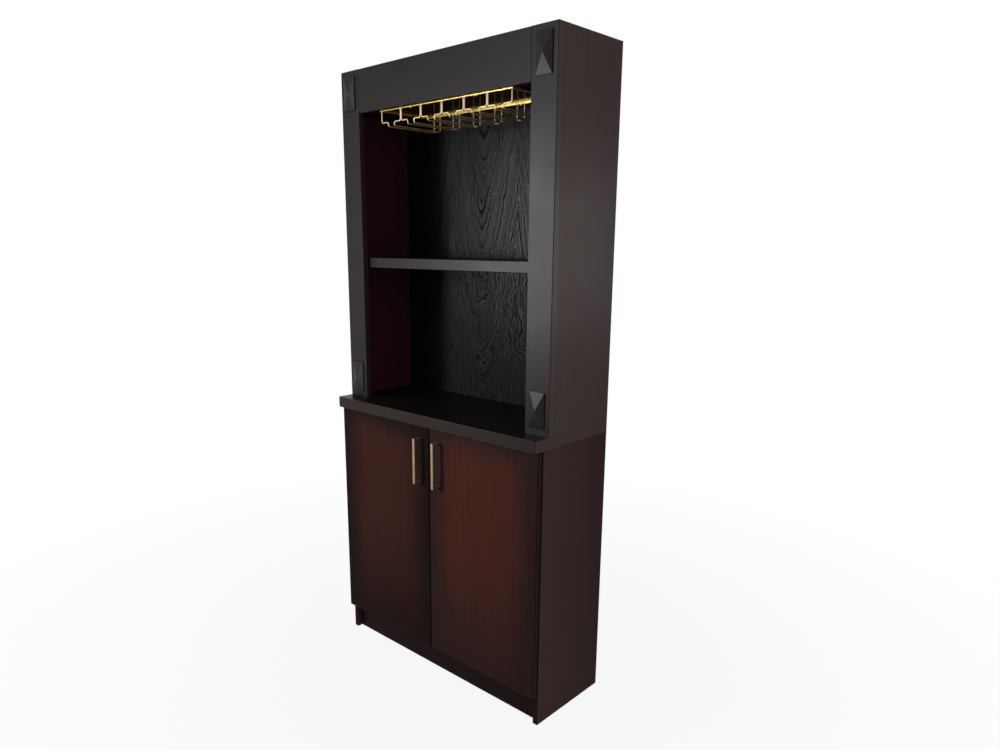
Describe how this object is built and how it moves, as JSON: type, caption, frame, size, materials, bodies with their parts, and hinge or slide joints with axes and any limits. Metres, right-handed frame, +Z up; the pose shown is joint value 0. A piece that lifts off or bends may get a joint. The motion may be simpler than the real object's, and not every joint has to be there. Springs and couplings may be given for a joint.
{
  "type": "bar armoire",
  "caption": "Tall bar cabinet: base with hinged doors and bar pulls, overhanging counter, open hutch with shelf, pyramid corner blocks and a brass stemware rack.",
  "frame": {"origin": "on the floor, under the middle of the overall box", "axes": "+Z up, +X to the right seen from the front, +Y to the back"},
  "size_m": [0.914, 0.373, 2.032],
  "materials": {
    "side_finish": "satin dark brown stain",
    "frame_finish": "satin espresso lacquer",
    "interior_finish": "dark stain",
    "back_finish": "black stain on open grain",
    "door_finish": "mahogany stain shaded darker to the edges",
    "pull_brass": "satin brass",
    "rack_brass": "polished brass plate",
    "hinge_steel": "nickel plate",
    "screw_steel": "zinc plate",
    "dowel_wood": "bare beech",
    "bumper_rubber": "soft grey"
  },
  "bodies": {
    "cabinet": {"base_side_left": "side_finish", "base_side_right": "side_finish", "hutch_side_left": "side_finish", "hutch_side_right": "side_finish", "hutch_roof": "side_finish", "base_back": "side_finish", "counter_top": "frame_finish", "stile_left": "frame_finish", "stile_right": "frame_finish", "header": "frame_finish", "corner_block_upper_left": "frame_finish", "corner_block_upper_right": "frame_finish", "corner_block_lower_left": "frame_finish", "corner_block_lower_right": "frame_finish", "hutch_shelf_nosing": "frame_finish", "toe_kick": "frame_finish", "base_bottom": "interior_finish", "base_front_rail": "interior_finish", "base_rear_rail": "interior_finish", "base_shelf": "interior_finish", "hutch_shelf": "interior_finish", "rack_soffit": "interior_finish", "hutch_back": "back_finish", "rack_front_bar": "rack_brass", "rack_rear_bar": "rack_brass", "rack_end_bar_left": "rack_brass", "rack_end_bar_right": "rack_brass", "rack_hanger_1": "rack_brass", "rack_hanger_2": "rack_brass", "rack_hanger_3": "rack_brass", "rack_hanger_4": "rack_brass", "rack_hanger_5": "rack_brass", "rack_hanger_6": "rack_brass", "rack_hanger_7": "rack_brass", "rack_screws": "rack_brass", "hinge_arms_left": "hinge_steel", "hinge_arms_right": "hinge_steel", "hinge_plates_left": "hinge_steel", "hinge_plates_right": "hinge_steel", "hinge_plate_screws_left": "screw_steel", "hinge_plate_screws_right": "screw_steel", "counter_screws": "screw_steel", "base_shelf_supports": "screw_steel", "hutch_shelf_supports": "screw_steel", "base_dowels": "dowel_wood", "hutch_dowels": "dowel_wood"},
    "left_door": {"door_left": "door_finish", "pull_left": "pull_brass", "pull_screws_left": "screw_steel", "door_bumpers_left": "bumper_rubber", "hinge_cups_left": "hinge_steel", "hinge_pins_left": "hinge_steel", "hinge_cup_screws_left": "screw_steel"},
    "right_door": {"door_right": "door_finish", "pull_right": "pull_brass", "pull_screws_right": "screw_steel", "door_bumpers_right": "bumper_rubber", "hinge_cups_right": "hinge_steel", "hinge_pins_right": "hinge_steel", "hinge_cup_screws_right": "screw_steel"}
  },
  "joints": [
    {"name": "left_door_hinge", "type": "hinge", "parent": "cabinet", "child": "left_door", "pos_m": [-0.4475, -0.1485, 0.492], "axis": [0, 0, -1], "range_deg": [0, 95]},
    {"name": "right_door_hinge", "type": "hinge", "parent": "cabinet", "child": "right_door", "pos_m": [0.4475, -0.1485, 0.492], "axis": [0, 0, 1], "range_deg": [0, 95]}
  ]
}
